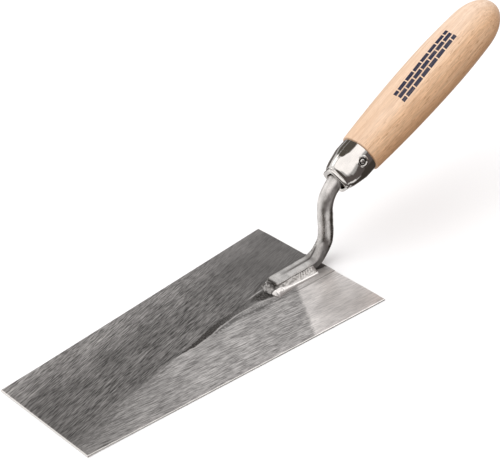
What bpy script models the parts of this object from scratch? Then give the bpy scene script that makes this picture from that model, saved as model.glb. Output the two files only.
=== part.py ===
"""Brick trowel: flat tapered steel blade, cranked round neck welded to it, plated ferrule and turned handle.

Lengths are in millimetres until a mesh is made. +X points toward the blade's toe, +Y to the side that
the ferrule pin is on, and +Z up from the blade's underside, which rests on the ground. The origin is the
middle of the whole tool's footprint. The handle, the ferrule and its pin are made round their own +Z,
which is the handle's axis, and are parented to an empty that tilts it.
"""

import math

import bmesh
import bpy
from mathutils import Matrix, Vector

MM = 0.001
GAP = 0.3                        # between pieces that touch

# Blade
BLADE_LENGTH = 200.0
TOE_WIDTH = 76.5
REAR_WIDTH = 106.5
BLADE_THICKNESS = 1.4
EDGE_BEVEL = 0.2
PLATEAU_HEIGHT = 0.5             # the part of the plate round the foot that stands above the ground faces
PLATEAU_SLOPE = 1.6
REAR_EDGE_X = -24.5              # puts the origin under the middle of the tool

# Neck: a round rod, cranked twice, with its foot along the blade and its tang in the handle
ROD_RADIUS = 4.6
FOOT_TOE_X = 38.5
FOOT_AXIS_Z = BLADE_THICKNESS + 4.4
FOOT_HALF_WIDTH = 4.8
FOOT_TOP = 1.3                   # above the rod's axis: the foot is hammered to a flat bar
FOOT_SQUARENESS = 0.45           # 0 gives the foot a round top, 1 a flat one
LOWER_BEND_RADIUS = 14.0
RISER_X = -6.1
UPPER_BEND_RADIUS = 18.0
TANG_END = 94.0                  # along the handle's axis, as all the lengths below
TANG_TAPER_START = 60.0
TANG_TIP_RADIUS = 3.2

# Handle axis
HANDLE_ANGLE = math.radians(24.6)
AXIS_Z_AT_REAR_EDGE = BLADE_THICKNESS + 41.4

# Ferrule: a tube drawn down to a rounded square mouth
FERRULE_MOUTH = 16.2
FERRULE_BAND_START = 31.0
FERRULE_END = 39.1
FERRULE_RADIUS = 11.9
FERRULE_WALL = 0.8
MOUTH_HALF_FLAT = 5.7
SNOUT_HALF_FLAT = 8.2
LIP_LENGTH = 1.8
SQUARENESS = 5.0

# Pin through the ferrule into the wood
PIN_ALONG = 32.9
PIN_ANGLE = math.radians(61.0)
PIN_SHANK_RADIUS = 0.9
PIN_HEAD_RADIUS = 2.0
PIN_HEAD_HEIGHT = 0.7
PIN_DEPTH = 5.0
RING_RADIUS = 2.9
RING_THICKNESS = 0.45

# Handle
SHOULDER = FERRULE_END + GAP
SHOULDER_RADIUS = 13.0
BELLY = 108.0
BELLY_RADIUS = 15.7
DOME_START = 143.0
HANDLE_END = 165.0
DOME_START_RADIUS = 14.4
SPIGOT_START = 20.0
BORE_RADIUS = ROD_RADIUS + GAP
BORE_END = 97.0

# Weld beads
BEAD_BASE = BLADE_THICKNESS + PLATEAU_HEIGHT + GAP
RIGHT_BEAD_START = 8.0
LEFT_BEAD_START = 3.0
TOE_BEAD_LENGTH = 13.6
BEAD_POWER = 1.6                 # 1 gives a bead a round outside, 2 a straight slope


def clear_scene():
    for item in list(bpy.data.objects):
        bpy.data.objects.remove(item, do_unlink=True)


def material(name, colour, roughness, metallic):
    made = bpy.data.materials.new(name)
    made.use_nodes = True
    shader = made.node_tree.nodes["Principled BSDF"]
    shader.inputs["Base Color"].default_value = (*colour, 1.0)
    shader.inputs["Roughness"].default_value = roughness
    shader.inputs["Metallic"].default_value = metallic
    made.diffuse_color = (*colour, 1.0)
    return made


def add_object(name, mesh_builder, surface, sharp_degrees=30.0):
    """Make one object from a bmesh in millimetres."""
    bmesh.ops.recalc_face_normals(mesh_builder, faces=mesh_builder.faces)
    bmesh.ops.scale(mesh_builder, vec=(MM, MM, MM), verts=mesh_builder.verts)
    mesh = bpy.data.meshes.new(name)
    mesh_builder.to_mesh(mesh)
    mesh_builder.free()
    mesh.shade_smooth()
    mesh.set_sharp_from_angle(angle=math.radians(sharp_degrees))
    made = bpy.data.objects.new(name, mesh)
    made.data.materials.append(surface)
    bpy.context.collection.objects.link(made)
    return made


def loft(rings, closed=False):
    """Skin over rings of equal length. An open loft is capped at both ends, a closed one joins up."""
    built = bmesh.new()
    rows = [[built.verts.new(point) for point in ring] for ring in rings]
    pairs = list(zip(rows, rows[1:]))
    if closed:
        pairs.append((rows[-1], rows[0]))
    for here, there in pairs:
        for i in range(len(here)):
            j = (i + 1) % len(here)
            built.faces.new((here[i], here[j], there[j], there[i]))
    if not closed:
        built.faces.new(rows[0])
        built.faces.new(rows[-1])
    return built


def cutter(name, mesh_builder):
    made = add_object(name, mesh_builder, bpy.data.materials["cutter"])
    made.hide_render = True
    made.display_type = "WIRE"
    return made


def boolean(target, tool, operation):
    modifier = target.modifiers.new(tool.name, "BOOLEAN")
    modifier.operation = operation
    modifier.solver = "EXACT"
    modifier.object = tool


def circle(radius, along, sides):
    """A ring round the local Z axis."""
    angles = [2 * math.pi * i / sides for i in range(sides)]
    return [Vector((radius * math.cos(a), radius * math.sin(a), along)) for a in angles]


# Blade ------------------------------------------------------------------------------------------------

def trapezoid(height):
    rear = REAR_WIDTH / 2
    toe = TOE_WIDTH / 2
    corners = ((0, -rear), (BLADE_LENGTH, -toe), (BLADE_LENGTH, toe), (0, rear))
    return [Vector((x, y, height)) for x, y in corners]


def tongue_outline():
    """The raised tongue of the plate, as (x, low y, high y), ending in a point toward the toe."""
    return [
        (0.8, -12.5, 13.4),
        (20.0, -12.0, 12.8),
        (44.0, -8.0, 11.2),
        (57.0, -4.6, 8.8),
        (76.0, -0.2, 7.2),
        (92.0, 3.2, 7.6),
        (110.0, 7.4, 8.8),
    ]


def tongue_ring(height, inset):
    stations = tongue_outline()
    points = []
    for index, side in ((1, 1), (2, -1)):
        row = stations if index == 1 else stations[::-1]
        for station in row:
            half = (station[2] - station[1]) / 2
            shift = min(inset, 0.7 * half)
            points.append(Vector((station[0], station[index] + side * shift, height)))
    return points


def make_blade(surface):
    plate = add_object("blade", loft([trapezoid(0.0), trapezoid(BLADE_THICKNESS)]), surface)
    plate.location.x = REAR_EDGE_X * MM
    bevel = plate.modifiers.new("edges", "BEVEL")
    bevel.width = EDGE_BEVEL * MM
    bevel.segments = 2
    low = BLADE_THICKNESS / 2
    top = BLADE_THICKNESS + PLATEAU_HEIGHT
    rings = [tongue_ring(low, 0.0), tongue_ring(BLADE_THICKNESS, 0.0), tongue_ring(top, PLATEAU_SLOPE)]
    tongue = cutter("tongue", loft(rings))
    tongue.location.x = REAR_EDGE_X * MM
    boolean(plate, tongue, "UNION")


# Neck -------------------------------------------------------------------------------------------------

def axis_point(along):
    """A point on the handle's axis, from the blade's rear edge."""
    return Vector((-along * math.cos(HANDLE_ANGLE), 0, AXIS_Z_AT_REAR_EDGE + along * math.sin(HANDLE_ANGLE)))


def arc(centre, radius, first, last, count):
    """Points and heading angles round an arc in the XZ plane, without its first point."""
    stations = []
    for i in range(1, count + 1):
        angle = first + (last - first) * i / count
        point = centre + radius * Vector((math.cos(angle), 0, math.sin(angle)))
        heading = angle + math.copysign(math.pi / 2, last - first)
        stations.append((point, heading))
    return stations


def neck_path():
    """The rod's centre line from the foot's toe to the tang's tip: (point, heading) pairs."""
    heading_foot = math.pi
    heading_axis = math.pi - HANDLE_ANGLE
    bend_x = RISER_X + LOWER_BEND_RADIUS
    stations = []
    foot_steps = 6
    for i in range(foot_steps + 1):
        x = FOOT_TOE_X + (bend_x - FOOT_TOE_X) * i / foot_steps
        stations.append((Vector((x, 0, FOOT_AXIS_Z)), heading_foot))
    lower_centre = Vector((bend_x, 0, FOOT_AXIS_Z + LOWER_BEND_RADIUS))
    stations += arc(lower_centre, LOWER_BEND_RADIUS, 1.5 * math.pi, math.pi, 9)
    corner = axis_point(-RISER_X / math.cos(HANDLE_ANGLE))
    turn = math.pi / 2 - HANDLE_ANGLE
    tangent = UPPER_BEND_RADIUS * math.tan(turn / 2)
    upper_centre = Vector((RISER_X - UPPER_BEND_RADIUS, 0, corner.z - tangent))
    stations.append((Vector((RISER_X, 0, upper_centre.z)), math.pi / 2))
    stations += arc(upper_centre, UPPER_BEND_RADIUS, 0.0, turn, 8)
    for along in (TANG_TAPER_START, TANG_END):
        stations.append((axis_point(along), heading_axis))
    return stations


def rod_section(point, heading, sides=16):
    """One ring of the rod. It is round, and goes over to a flat-bottomed arch along the foot."""
    blend = min(1.0, max(0.0, (point.x + 1.0) / 9.0))
    if point.z > FOOT_AXIS_Z + LOWER_BEND_RADIUS:
        blend = 0.0
    foot_bottom = FOOT_AXIS_Z - BEAD_BASE
    half_width = ROD_RADIUS + (FOOT_HALF_WIDTH - ROD_RADIUS) * blend
    top = ROD_RADIUS + (FOOT_TOP - ROD_RADIUS) * blend
    bottom = ROD_RADIUS + (foot_bottom - ROD_RADIUS) * blend
    power = 2 / (2 + 3 * blend)
    top_power = 1 - FOOT_SQUARENESS * blend
    scale = 1.0
    if point == axis_point(TANG_END):
        scale = TANG_TIP_RADIUS / ROD_RADIUS
    normal = Vector((math.sin(heading), 0, -math.cos(heading)))
    ring = []
    for i in range(sides):
        angle = 2 * math.pi * (i + 0.5) / sides
        c = math.cos(angle)
        s = math.sin(angle)
        if s >= 0:
            across = half_width * math.copysign(abs(c) ** top_power, c)
            up = top * s ** top_power
        else:
            across = half_width * math.copysign(abs(c) ** power, c)
            up = -bottom * abs(s) ** power
        ring.append(point + scale * (Vector((0, across, 0)) + up * normal))
    return ring


def make_neck(surface):
    neck = add_object("neck", loft([rod_section(point, heading) for point, heading in neck_path()]), surface)
    neck.location.x = REAR_EDGE_X * MM


# Weld beads -------------------------------------------------------------------------------------------

def bead(length, widths, heights, ripples, side=1, sides=6):
    """A weld bead along local X: flat at local Y = 0 and Z = 0, round and rippled toward the given side."""
    steps = 4 * ripples
    rings = []
    for i in range(steps + 1):
        t = i / steps
        end = 0.55 + 0.45 * min(1.0, 5 * t, 5 * (1 - t))
        swell = end * (1.0 + 0.07 * math.sin(2 * math.pi * ripples * t))
        width = side * swell * (widths[0] + (widths[1] - widths[0]) * t)
        height = swell * (heights[0] + (heights[1] - heights[0]) * t)
        ring = [Vector((length * t, 0, 0))]
        for j in range(sides + 1):
            out = abs(math.cos(math.pi / 2 * j / sides)) ** BEAD_POWER
            up = math.sin(math.pi / 2 * j / sides) ** BEAD_POWER
            ring.append(Vector((length * t, width * out, height * up)))
        rings.append(ring)
    return loft(rings)


def make_bead(name, shape, surface, x, y, turn=0.0):
    made = add_object(name, shape, surface)
    made.location = Vector((REAR_EDGE_X + x, y, BEAD_BASE)) * MM
    made.rotation_euler = (0, 0, turn)


def make_beads(surface):
    side = FOOT_HALF_WIDTH + GAP
    right = bead(FOOT_TOE_X - RIGHT_BEAD_START, (4.1, 3.9), (4.3, 3.6), ripples=6)
    left = bead(FOOT_TOE_X - LEFT_BEAD_START, (2.0, 2.0), (4.1, 3.4), ripples=6, side=-1)
    toe = bead(TOE_BEAD_LENGTH, (4.4, 3.6), (3.2, 4.4), ripples=3)
    make_bead("weld_bead_right", right, surface, RIGHT_BEAD_START, side)
    make_bead("weld_bead_left", left, surface, LEFT_BEAD_START, -side)
    make_bead("weld_bead_toe", toe, surface, FOOT_TOE_X + GAP, TOE_BEAD_LENGTH / 2, -math.pi / 2)


# Ferrule ----------------------------------------------------------------------------------------------

def squared_ring(half_flat, squareness, along, sides=48):
    """A ring that is a circle at squareness 2 and nears a square with corners on X and Y above it."""
    ring = []
    for i in range(sides):
        angle = 2 * math.pi * i / sides
        c = abs(math.cos(angle - math.pi / 4))
        s = abs(math.sin(angle - math.pi / 4))
        radius = half_flat / (c ** squareness + s ** squareness) ** (1 / squareness)
        ring.append(Vector((radius * math.cos(angle), radius * math.sin(angle), along)))
    return ring


def snout(along):
    """Half the distance across flats, and the squareness, at a place on the ferrule's outside."""
    start = FERRULE_MOUTH + LIP_LENGTH
    t = min(1.0, max(0.0, (along - start) / (FERRULE_BAND_START - start)))
    half_flat = SNOUT_HALF_FLAT + (FERRULE_RADIUS - SNOUT_HALF_FLAT) * math.sin(t * math.pi / 2) ** 1.4
    return half_flat, SQUARENESS + (2.0 - SQUARENESS) * t


def ferrule_rings():
    lip_start = FERRULE_MOUTH + LIP_LENGTH
    stations = [lip_start + (FERRULE_BAND_START - lip_start) * i / 6 for i in range(7)]
    lip_depth = SNOUT_HALF_FLAT - MOUTH_HALF_FLAT
    rings = [squared_ring(MOUTH_HALF_FLAT, SQUARENESS, FERRULE_MOUTH + 0.5)]
    for i in range(4):
        angle = math.pi / 2 * i / 4
        half_flat = MOUTH_HALF_FLAT + 0.3 + (lip_depth - 0.3) * math.sin(angle)
        along = lip_start - LIP_LENGTH * math.cos(angle)
        rings.append(squared_ring(half_flat, SQUARENESS, along))
    for along in stations:
        half_flat, squareness = snout(along)
        rings.append(squared_ring(half_flat, squareness, along))
    rings.append(circle(FERRULE_RADIUS, FERRULE_END, 48))
    rings.append(circle(FERRULE_RADIUS - FERRULE_WALL, FERRULE_END, 48))
    for along in stations[::-1]:
        half_flat, squareness = snout(along)
        rings.append(squared_ring(half_flat - FERRULE_WALL, squareness, along))
    rings.append(squared_ring(MOUTH_HALF_FLAT, SQUARENESS, FERRULE_MOUTH + LIP_LENGTH))
    return rings


def pin_frame():
    """Local +Z along the pin, outward from the handle's axis, at the ferrule's surface."""
    outward = Vector((math.cos(PIN_ANGLE), math.sin(PIN_ANGLE), 0))
    turn = outward.to_track_quat("Z", "Y").to_matrix().to_4x4()
    place = outward * FERRULE_RADIUS + Vector((0, 0, PIN_ALONG))
    return Matrix.Translation(place * MM) @ turn


def pin_bore(name, axis_frame):
    rings = [circle(PIN_SHANK_RADIUS + GAP, -PIN_DEPTH - GAP, 12), circle(PIN_SHANK_RADIUS + GAP, 3.0, 12)]
    tool = cutter(name, loft(rings))
    tool.parent = axis_frame
    tool.matrix_local = pin_frame()
    return tool


def raised_ring(axis_frame):
    """The punched rim round the pin's head."""
    rings = []
    for i in range(24):
        turn = Matrix.Rotation(2 * math.pi * i / 24, 3, "Z")
        ring = []
        for j in range(8):
            angle = 2 * math.pi * j / 8
            out = RING_RADIUS + RING_THICKNESS * math.cos(angle)
            ring.append(turn @ Vector((out, 0, -0.1 + RING_THICKNESS * math.sin(angle))))
        rings.append(ring)
    tool = cutter("punched_rim", loft(rings, closed=True))
    tool.parent = axis_frame
    tool.matrix_local = pin_frame()
    return tool


def make_ferrule(surface, axis_frame):
    ferrule = add_object("ferrule", loft(ferrule_rings(), closed=True), surface)
    ferrule.parent = axis_frame
    boolean(ferrule, raised_ring(axis_frame), "UNION")
    boolean(ferrule, pin_bore("ferrule_pin_hole", axis_frame), "DIFFERENCE")


def make_pin(surface, axis_frame):
    head_base = GAP
    rings = [
        circle(PIN_SHANK_RADIUS * 0.3, -PIN_DEPTH, 16),
        circle(PIN_SHANK_RADIUS, -PIN_DEPTH + 1.5, 16),
        circle(PIN_SHANK_RADIUS, head_base, 16),
        circle(PIN_HEAD_RADIUS, head_base, 16),
        circle(PIN_HEAD_RADIUS * 0.92, head_base + PIN_HEAD_HEIGHT * 0.5, 16),
        circle(PIN_HEAD_RADIUS * 0.6, head_base + PIN_HEAD_HEIGHT * 0.9, 16),
        circle(PIN_HEAD_RADIUS * 0.2, head_base + PIN_HEAD_HEIGHT, 16),
    ]
    pin = add_object("ferrule_pin", loft(rings), surface)
    pin.parent = axis_frame
    pin.matrix_local = pin_frame()


# Handle -----------------------------------------------------------------------------------------------

def handle_radius(along):
    """A slow swell to the belly, then a blunt dome."""
    if along < BELLY:
        t = (BELLY - along) / (BELLY - SHOULDER)
        return BELLY_RADIUS - (BELLY_RADIUS - SHOULDER_RADIUS) * t * t
    t = (along - BELLY) / (DOME_START - BELLY)
    radius = BELLY_RADIUS - (BELLY_RADIUS - DOME_START_RADIUS) * t * t
    if along > DOME_START:
        dome = (along - DOME_START) / (HANDLE_END - DOME_START)
        radius *= (1 - dome ** 2.3) ** (1 / 2.3)
    return radius


def make_handle(surface, axis_frame):
    sides = 36
    band_inside = FERRULE_RADIUS - FERRULE_WALL - GAP
    spigot_tip = snout(SPIGOT_START)[0] - FERRULE_WALL - GAP
    rings = [
        circle(BORE_RADIUS * 0.5, BORE_END, sides),
        circle(BORE_RADIUS, BORE_END - 3.0, sides),
        circle(BORE_RADIUS, SPIGOT_START, sides),
        circle(spigot_tip, SPIGOT_START, sides),
        circle(snout(24.5)[0] - FERRULE_WALL - GAP, 24.5, sides),
        circle(band_inside, FERRULE_BAND_START, sides),
        circle(band_inside, SHOULDER, sides),
        circle(SHOULDER_RADIUS - 0.5, SHOULDER, sides),
        circle(handle_radius(SHOULDER + 0.6), SHOULDER + 0.6, sides),
    ]
    swell = [SHOULDER + (DOME_START - SHOULDER) * i / 9 for i in range(1, 10)]
    dome_steps = 8
    dome = [
        DOME_START + (HANDLE_END - DOME_START) * math.sin(math.pi / 2 * i / dome_steps)
        for i in range(1, dome_steps)
    ]
    rings += [circle(handle_radius(along), along, sides) for along in swell + dome]
    rings.append(circle(handle_radius(HANDLE_END - 0.05), HANDLE_END, sides))
    handle = add_object("handle", loft(rings), surface)
    handle.parent = axis_frame
    boolean(handle, pin_bore("handle_pin_hole", axis_frame), "DIFFERENCE")


def main():
    clear_scene()
    material("cutter", (0.8, 0.2, 0.2), 0.5, 0.0)
    ground_steel = material("ground_steel", (0.42, 0.41, 0.41), 0.35, 1.0)
    rod_steel = material("rod_steel", (0.52, 0.51, 0.50), 0.28, 1.0)
    weld_steel = material("weld_steel", (0.48, 0.46, 0.45), 0.45, 1.0)
    nickel = material("nickel_plate", (0.78, 0.76, 0.74), 0.12, 1.0)
    beech = material("beech", (0.78, 0.56, 0.38), 0.5, 0.0)

    axis_frame = bpy.data.objects.new("handle_axis", None)
    bpy.context.collection.objects.link(axis_frame)
    axis_frame.location = Vector((REAR_EDGE_X, 0, AXIS_Z_AT_REAR_EDGE)) * MM
    axis_frame.rotation_euler = (0, HANDLE_ANGLE - math.pi / 2, 0)

    make_blade(ground_steel)
    make_neck(rod_steel)
    make_beads(weld_steel)
    make_ferrule(nickel, axis_frame)
    make_pin(nickel, axis_frame)
    make_handle(beech, axis_frame)


main()
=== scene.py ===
"""Looks for the brick trowel: finer meshes, materials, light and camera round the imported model.

Lengths are in millimetres until a mesh is made. The blade, neck and welds are made in the tool's own frame,
with X = 0 at the blade's rear edge and the right side at positive Y. The ferrule and the handle are made
round their own Z, which is the handle's axis, and the pin is made round an axis of its own.
"""

import math

import bpy
import numpy as np
from mathutils import Matrix, Vector, noise


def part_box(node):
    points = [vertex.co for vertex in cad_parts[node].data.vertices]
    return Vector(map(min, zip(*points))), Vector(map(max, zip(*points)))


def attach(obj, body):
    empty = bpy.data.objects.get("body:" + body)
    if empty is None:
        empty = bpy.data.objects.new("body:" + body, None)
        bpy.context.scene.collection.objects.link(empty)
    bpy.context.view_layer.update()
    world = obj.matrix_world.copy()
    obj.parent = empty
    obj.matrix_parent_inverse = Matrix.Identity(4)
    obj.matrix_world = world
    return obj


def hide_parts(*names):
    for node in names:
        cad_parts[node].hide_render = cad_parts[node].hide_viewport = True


MM = 0.001

# The camera, as seen from the point it looks at, in metres
CAMERA_TARGET = (0.0264, 0.0, 0.0490)
CAMERA_AZIMUTH = math.radians(50.18)
CAMERA_ELEVATION = math.radians(33.20)
CAMERA_DISTANCE = 0.9106
CAMERA_ROLL = math.radians(-4.12)
CAMERA_FOCAL = 3.3  # focal length over sensor width

# The design's driving sizes
BLADE_THICKNESS = 1.4
TOE_WIDTH = 76.5
PLATEAU_HEIGHT = 0.5
ROD_RADIUS = 4.6
FOOT_TOE_X = 38.5
FOOT_AXIS_Z = BLADE_THICKNESS + 4.4
FOOT_BASE_Z = BLADE_THICKNESS + PLATEAU_HEIGHT
FOOT_HALF_WIDTH = 4.8
FOOT_TOP = 1.3
FOOT_SQUARENESS = 0.45
LOWER_BEND_RADIUS = 14.0
RISER_X = -6.1
UPPER_BEND_RADIUS = 18.0
TANG_SHOWN = 30.0
HANDLE_ANGLE = math.radians(24.6)
AXIS_Z_AT_REAR_EDGE = BLADE_THICKNESS + 41.4
FERRULE_MOUTH = 16.2
FERRULE_END = 39.1
FERRULE_RADIUS = 11.9
FERRULE_WALL = 0.8
MOUTH_HALF_FLAT = 5.7
SNOUT_HALF_FLAT = 8.1
LIP_LENGTH = 2.3
LIP_SQUARENESS = 4.5
PIN_ALONG = 32.9
PIN_ANGLE = math.radians(61.0)
SHOULDER = 39.2
SHOULDER_RADIUS = 13.0
BELLY = 108.0
BELLY_RADIUS = 15.7
DOME_START = 143.0
DOME_START_RADIUS = 14.4
DOME_POWER = 2.3
HANDLE_END = 164.9


# Meshes ---------------------------------------------------

def add_piece(name, points, faces, place=Matrix.Identity(4), sharp_degrees=40.0):
    """One object from points in millimetres, kept as "own". It is smooth but for its sharp edges."""
    mesh = bpy.data.meshes.new(name)
    own = np.asarray(points, float)
    world = own * MM @ np.array(place.to_3x3()).T + np.array(place.translation)
    mesh.from_pydata([tuple(p) for p in world], [], faces)
    attribute = mesh.attributes.new("own", "FLOAT_VECTOR", "POINT")
    attribute.data.foreach_set("vector", own.astype(np.float32).ravel())
    mesh.shade_smooth()
    mesh.set_sharp_from_angle(angle=math.radians(sharp_degrees))
    piece = bpy.data.objects.new(name, mesh)
    bpy.context.scene.collection.objects.link(piece)
    return piece


def skin(rings, closed=False):
    """Points and faces of a skin over rings of equal length: capped, or closed from the last to the first."""
    rows, sides = len(rings), len(rings[0])
    points = np.concatenate([np.asarray(ring, float) for ring in rings])
    faces = []
    for row in range(rows if closed else rows - 1):
        after = (row + 1) % rows
        for i in range(sides):
            j = (i + 1) % sides
            faces.append((row * sides + i, row * sides + j, after * sides + j, after * sides + i))
    if not closed:
        faces.append(tuple(range(sides))[::-1])
        faces.append(tuple(range((rows - 1) * sides, rows * sides)))
    return points, faces


def ring_angles(sides):
    return np.linspace(0, 2 * math.pi, sides, endpoint=False)


def ring(radius, along, angles):
    """Points round Z. The radius is one number, or one for each angle."""
    return np.stack([radius * np.cos(angles), radius * np.sin(angles), np.full(len(angles), along)], 1)


def smooth_step(low, high, value):
    """From 0 to 1 as the value goes from low to high, which may be the lesser."""
    t = np.clip((value - low) / (high - low), 0.0, 1.0)
    return t * t * (3 - 2 * t)


def lumps(point, size, height):
    """Smooth noise at a point, for unevenness of about this size, scaled to this height."""
    return noise.noise(Vector(point) / size) * height


def point_attribute(piece, name, values):
    attribute = piece.data.attributes.new(name, "FLOAT", "POINT")
    attribute.data.foreach_set("value", np.asarray(values, np.float32))


def finish_piece(piece, node, material):
    piece.data.materials.append(material)
    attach(piece, "root")
    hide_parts(node)


def on_blade():
    """From the tool's own frame to the world."""
    return Matrix.Translation((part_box("blade")[0].x, 0, 0))


def on_axis():
    """From the handle's axis frame to the world."""
    move = Matrix.Translation((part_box("blade")[0].x, 0, AXIS_Z_AT_REAR_EDGE * MM))
    return move @ Matrix.Rotation(HANDLE_ANGLE - math.pi / 2, 4, "Y")


# Materials ------------------------------------------------

class Nodes:
    """Short calls that add shader nodes to a tree. They take numbers, colours or other nodes' sockets."""

    def __init__(self, tree):
        self.tree = tree

    def put(self, socket, value):
        if isinstance(value, bpy.types.NodeSocket):
            self.tree.links.new(value, socket)
        else:
            socket.default_value = value

    def add(self, kind, inputs, **settings):
        node = self.tree.nodes.new("ShaderNode" + kind)
        for key, value in settings.items():
            setattr(node, key, value)
        for key, value in inputs.items():
            self.put(node.inputs[key], value)
        return node

    def math(self, operation, a, b=0.0):
        return self.add("Math", {0: a, 1: b}, operation=operation).outputs[0]

    def plus(self, total, *others):
        for other in others:
            total = self.math("ADD", total, other)
        return total

    def minus(self, a, b):
        return self.math("SUBTRACT", a, b)

    def times(self, product, *others):
        for other in others:
            product = self.math("MULTIPLY", product, other)
        return product

    def dot(self, a, b):
        return self.add("VectorMath", {0: a, 1: b}, operation="DOT_PRODUCT").outputs["Value"]

    def remap(self, value, low, high, to_low=0.0, to_high=1.0, **settings):
        inputs = {"Value": value, "From Min": low, "From Max": high, "To Min": to_low, "To Max": to_high}
        return self.add("MapRange", inputs, **settings).outputs[0]

    def line(self, value, centre, outer, inner, strength=1.0):
        """The strength where the value is within inner of the centre, fading to 0 at outer."""
        away = self.math("ABSOLUTE", self.minus(value, centre))
        return self.remap(away, outer, inner, 0.0, strength)

    def window(self, value, length):
        """1 between 0 and length, and 0 outside."""
        above = self.math("GREATER_THAN", value, 0.0)
        below = self.math("LESS_THAN", value, length)
        return self.times(above, below)

    def mix(self, factor, a, b):
        """Mix of two numbers."""
        return self.add("Mix", {0: factor, 2: a, 3: b}).outputs[0]

    def blend(self, factor, a, b):
        """Mix of two colours."""
        return self.add("Mix", {0: factor, 6: a, 7: b}, data_type="RGBA").outputs[2]

    def tint(self, factor, a, b):
        """Colour a multiplied by colour b, by factor."""
        inputs = {0: factor, 6: a, 7: b}
        return self.add("Mix", inputs, data_type="RGBA", blend_type="MULTIPLY").outputs[2]

    def tone(self, colour, value):
        """A colour multiplied by a number."""
        grey = self.add("CombineColor", {0: value, 1: value, 2: value}).outputs[0]
        return self.tint(1.0, colour, grey)


class Graph(Nodes):
    """A material with a Principled shader, and the patterns that feed it."""

    def __init__(self, name, colour, metallic, roughness):
        self.material = bpy.data.materials.new(name)
        self.material.use_nodes = True
        super().__init__(self.material.node_tree)
        self.shader = self.tree.nodes["Principled BSDF"]
        self.material.diffuse_color = (*colour, 1.0)
        self.set("Base Color", (*colour, 1.0))
        self.set("Metallic", metallic)
        self.set("Roughness", roughness)
        # the piece's own coordinates, in millimetres
        self.place = self.add("Attribute", {}, attribute_name="own").outputs["Vector"]
        self.x, self.y, self.z = self.add("SeparateXYZ", {0: self.place}).outputs[:]

    def set(self, name, value):
        self.put(self.shader.inputs[name], value)

    def attribute(self, name):
        return self.add("Attribute", {}, attribute_name=name).outputs["Fac"]

    def stretch(self, lengths, turn=0.0):
        """Coordinates in which a noise of scale 1 has features of these lengths, turned about Z."""
        turned = self.add("Mapping", {"Vector": self.place, "Rotation": (0, 0, -turn)}).outputs[0]
        scale = tuple(1 / length for length in lengths)
        return self.add("Mapping", {"Vector": turned, "Scale": scale}).outputs[0]

    def noise(self, lengths, detail=3.0, roughness=0.55, distortion=0.0, turn=0.0):
        inputs = {"Vector": self.stretch(lengths, turn), "Scale": 1.0, "Detail": detail}
        inputs.update({"Roughness": roughness, "Distortion": distortion})
        return self.add("TexNoise", inputs).outputs["Fac"]

    def spots(self, size, randomness=1.0):
        """Distance to the nearest of a scatter of points, in steps of about this size."""
        inputs = {"Vector": self.stretch((size, size, size)), "Scale": 1.0, "Randomness": randomness}
        return self.add("TexVoronoi", inputs).outputs["Distance"]

    def bump(self, height, strength, distance_mm):
        inputs = {"Height": height, "Strength": strength, "Distance": distance_mm * MM}
        self.set("Normal", self.add("Bump", inputs).outputs[0])


# Stage ----------------------------------------------------

KEY_DIRECTION = (0.5, -0.1, 0.85)
FILL_DIRECTION = (-0.2, -0.9, 0.6)
LIT_ROOM = (0.93, 0.93, 0.95, 1)
SHADED_ROOM = (0.34, 0.225, 0.135, 1)
ROOM_FADE = 0.7  # how near the key light's direction the room is fully lit, as a cosine
BACKDROP = (0.9, 0.9, 0.9, 1)
MIRRORED_ROOM = (0.42, 0.41, 0.40, 1)
WHITE_CARD = (0.9, 0.88, 0.86)
BLACK_CARD = (0.05, 0.042, 0.036)
DARK_CARD = (0.09, 0.08, 0.065)
LOW_CARD = (0.08, 0.07, 0.06)
SIDE_CARD = (0.10, 0.085, 0.08)
# in degrees, azimuth and elevation of the middle and angles to the inner and the outer edge, then colour
PATCHES = (
    (0, -90, 57, 66, (0.66, 0.64, 0.63)),
    (-150, 35, 30, 46, (0.95, 0.94, 0.93)),
    (-140, -10, 16, 26, (0.75, 0.73, 0.71)),
    (-55, 0, 36, 52, (0.85, 0.83, 0.81)),
    (30, 60, 38, 44, (1.15, 1.11, 1.08)),
    (-70, 32, 16, 24, (1.4, 1.37, 1.34)),
    (-106, 22, 8, 16, DARK_CARD),
    (-94, 50, 12, 19, DARK_CARD),
    (-80, 70, 10, 16, DARK_CARD),
    (25, -10, 20, 28, LOW_CARD),
    (20, -32, 12, 20, LOW_CARD),
    (60, -8, 24, 30, SIDE_CARD),
    (105, 0, 28, 35, SIDE_CARD),
    (150, -30, 22, 32, BLACK_CARD),
    (134, 42, 10, 18, (1.5, 1.48, 1.46)),
    (150, -52, 20, 28, BLACK_CARD),
    (-165, -54, 10, 16, BLACK_CARD),
    (72, -32, 6, 12, WHITE_CARD),
    (94, -35, 8, 13, WHITE_CARD),
    (88, -64, 16, 22, (0.06, 0.052, 0.046)),
    (-125, -28, 8, 20, WHITE_CARD),
    (-130, -33, 5, 9, (0.08, 0.07, 0.065)),
    (-113, -15, 8, 14, (0.13, 0.115, 0.105)),
)


def direction(azimuth, elevation):
    flat = math.cos(elevation)
    return Vector((flat * math.cos(azimuth), flat * math.sin(azimuth), math.sin(elevation)))


def make_camera():
    offset = direction(CAMERA_AZIMUTH, CAMERA_ELEVATION)
    data = bpy.data.cameras.new("camera")
    data.sensor_width = 36.0
    data.lens = data.sensor_width * CAMERA_FOCAL
    camera = bpy.data.objects.new("camera", data)
    camera.location = Vector(CAMERA_TARGET) + offset * CAMERA_DISTANCE
    look = (-offset).to_track_quat("-Z", "Y")
    camera.rotation_mode = "QUATERNION"
    camera.rotation_quaternion = look @ Matrix.Rotation(CAMERA_ROLL, 4, "Z").to_quaternion()
    bpy.context.scene.collection.objects.link(camera)
    bpy.context.scene.camera = camera


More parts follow.
